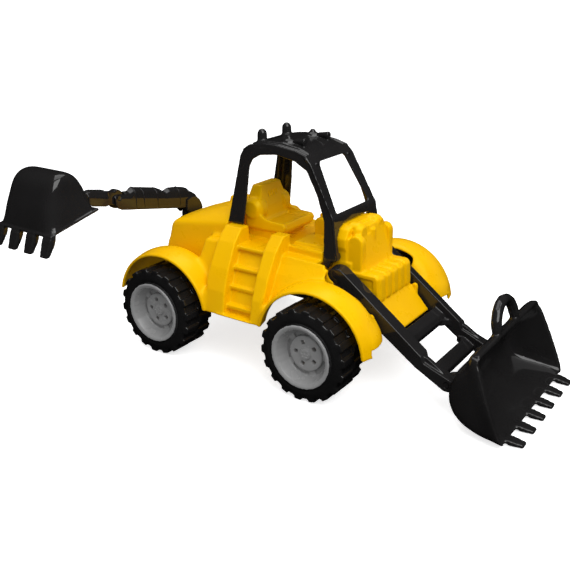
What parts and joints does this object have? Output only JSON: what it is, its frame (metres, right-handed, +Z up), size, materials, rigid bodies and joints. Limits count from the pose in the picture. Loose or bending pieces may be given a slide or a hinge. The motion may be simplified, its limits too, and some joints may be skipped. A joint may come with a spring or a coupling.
{
  "type": "toy backhoe loader",
  "caption": "Toy backhoe loader: moulded body on a chassis with rolling wheels, open cab frame, hinged loader bucket in front and a swinging backhoe arm behind.",
  "frame": {"origin": "centre of the flat underside of the chassis, midway between the axles, in the plane of symmetry of the body", "axes": "+X forward towards the loader bucket, +Y to the machine's left, +Z up"},
  "size_m": [0.5516, 0.4089, 0.2765],
  "materials": {
    "yellow_plastic": "satin gloss moulded plastic",
    "black_plastic": "satin gloss moulded plastic",
    "tyre": "satin moulded soft plastic",
    "grey_plastic": "satin moulded plastic",
    "axle_steel": "bright drawn rod"
  },
  "bodies": {
    "toy_body": {"chassis": "black_plastic", "body_shell": "yellow_plastic", "cab_frame": "black_plastic", "front_axle": "axle_steel", "rear_axle": "axle_steel", "loader_pin": "black_plastic"},
    "front_right_wheel": {"front_right_tyre": "tyre", "front_right_hub": "grey_plastic"},
    "front_left_wheel": {"front_left_tyre": "tyre", "front_left_hub": "grey_plastic"},
    "rear_right_wheel": {"rear_right_tyre": "tyre", "rear_right_hub": "grey_plastic"},
    "rear_left_wheel": {"rear_left_tyre": "tyre", "rear_left_hub": "grey_plastic"},
    "loader": {"loader_arm": "black_plastic"},
    "bucket": {"loader_bucket": "black_plastic", "tilt_pin_left": "black_plastic", "tilt_pin_right": "black_plastic"},
    "swing": {"swing_post": "black_plastic"},
    "boom": {"backhoe_boom": "black_plastic", "boom_foot_pin": "black_plastic", "elbow_pin": "black_plastic"},
    "stick": {"backhoe_stick": "black_plastic"},
    "hoe": {"backhoe_bucket": "black_plastic", "wrist_pin": "black_plastic"}
  },
  "joints": [
    {"name": "front_right_roll", "type": "hinge", "parent": "toy_body", "child": "front_right_wheel", "pos_m": [0.109, -0.106, -0.017], "axis": [0, 1, 0], "continuous": true},
    {"name": "front_left_roll", "type": "hinge", "parent": "toy_body", "child": "front_left_wheel", "pos_m": [0.109, 0.106, -0.017], "axis": [0, 1, 0], "continuous": true},
    {"name": "rear_right_roll", "type": "hinge", "parent": "toy_body", "child": "rear_right_wheel", "pos_m": [-0.109, -0.106, -0.017], "axis": [0, 1, 0], "continuous": true},
    {"name": "rear_left_roll", "type": "hinge", "parent": "toy_body", "child": "rear_left_wheel", "pos_m": [-0.109, 0.106, -0.017], "axis": [0, 1, 0], "continuous": true},
    {"name": "loader_lift", "type": "hinge", "parent": "toy_body", "child": "loader", "pos_m": [0.11, 0, 0.05], "axis": [0, -1, 0], "range_deg": [0, 55]},
    {"name": "bucket_tilt", "type": "hinge", "parent": "loader", "child": "bucket", "pos_m": [0.251, 0, -0.04], "axis": [0, -1, 0], "range_deg": [-60, 45]},
    {"name": "backhoe_swing", "type": "hinge", "parent": "toy_body", "child": "swing", "pos_m": [-0.159, 0, 0.068], "axis": [0, 0, -1], "range_deg": [0, 180]},
    {"name": "boom_lift", "type": "hinge", "parent": "swing", "child": "boom", "pos_m": [-0.159, 0, 0.088], "axis": [-1, 0, 0], "range_deg": [-10, 45]},
    {"name": "stick_fold", "type": "hinge", "parent": "boom", "child": "stick", "pos_m": [-0.159, -0.132, 0.123], "axis": [-1, 0, 0], "range_deg": [-30, 40]},
    {"name": "backhoe_curl", "type": "hinge", "parent": "stick", "child": "hoe", "pos_m": [-0.159, -0.188, 0.135], "axis": [-1, 0, 0], "range_deg": [-45, 50]}
  ]
}
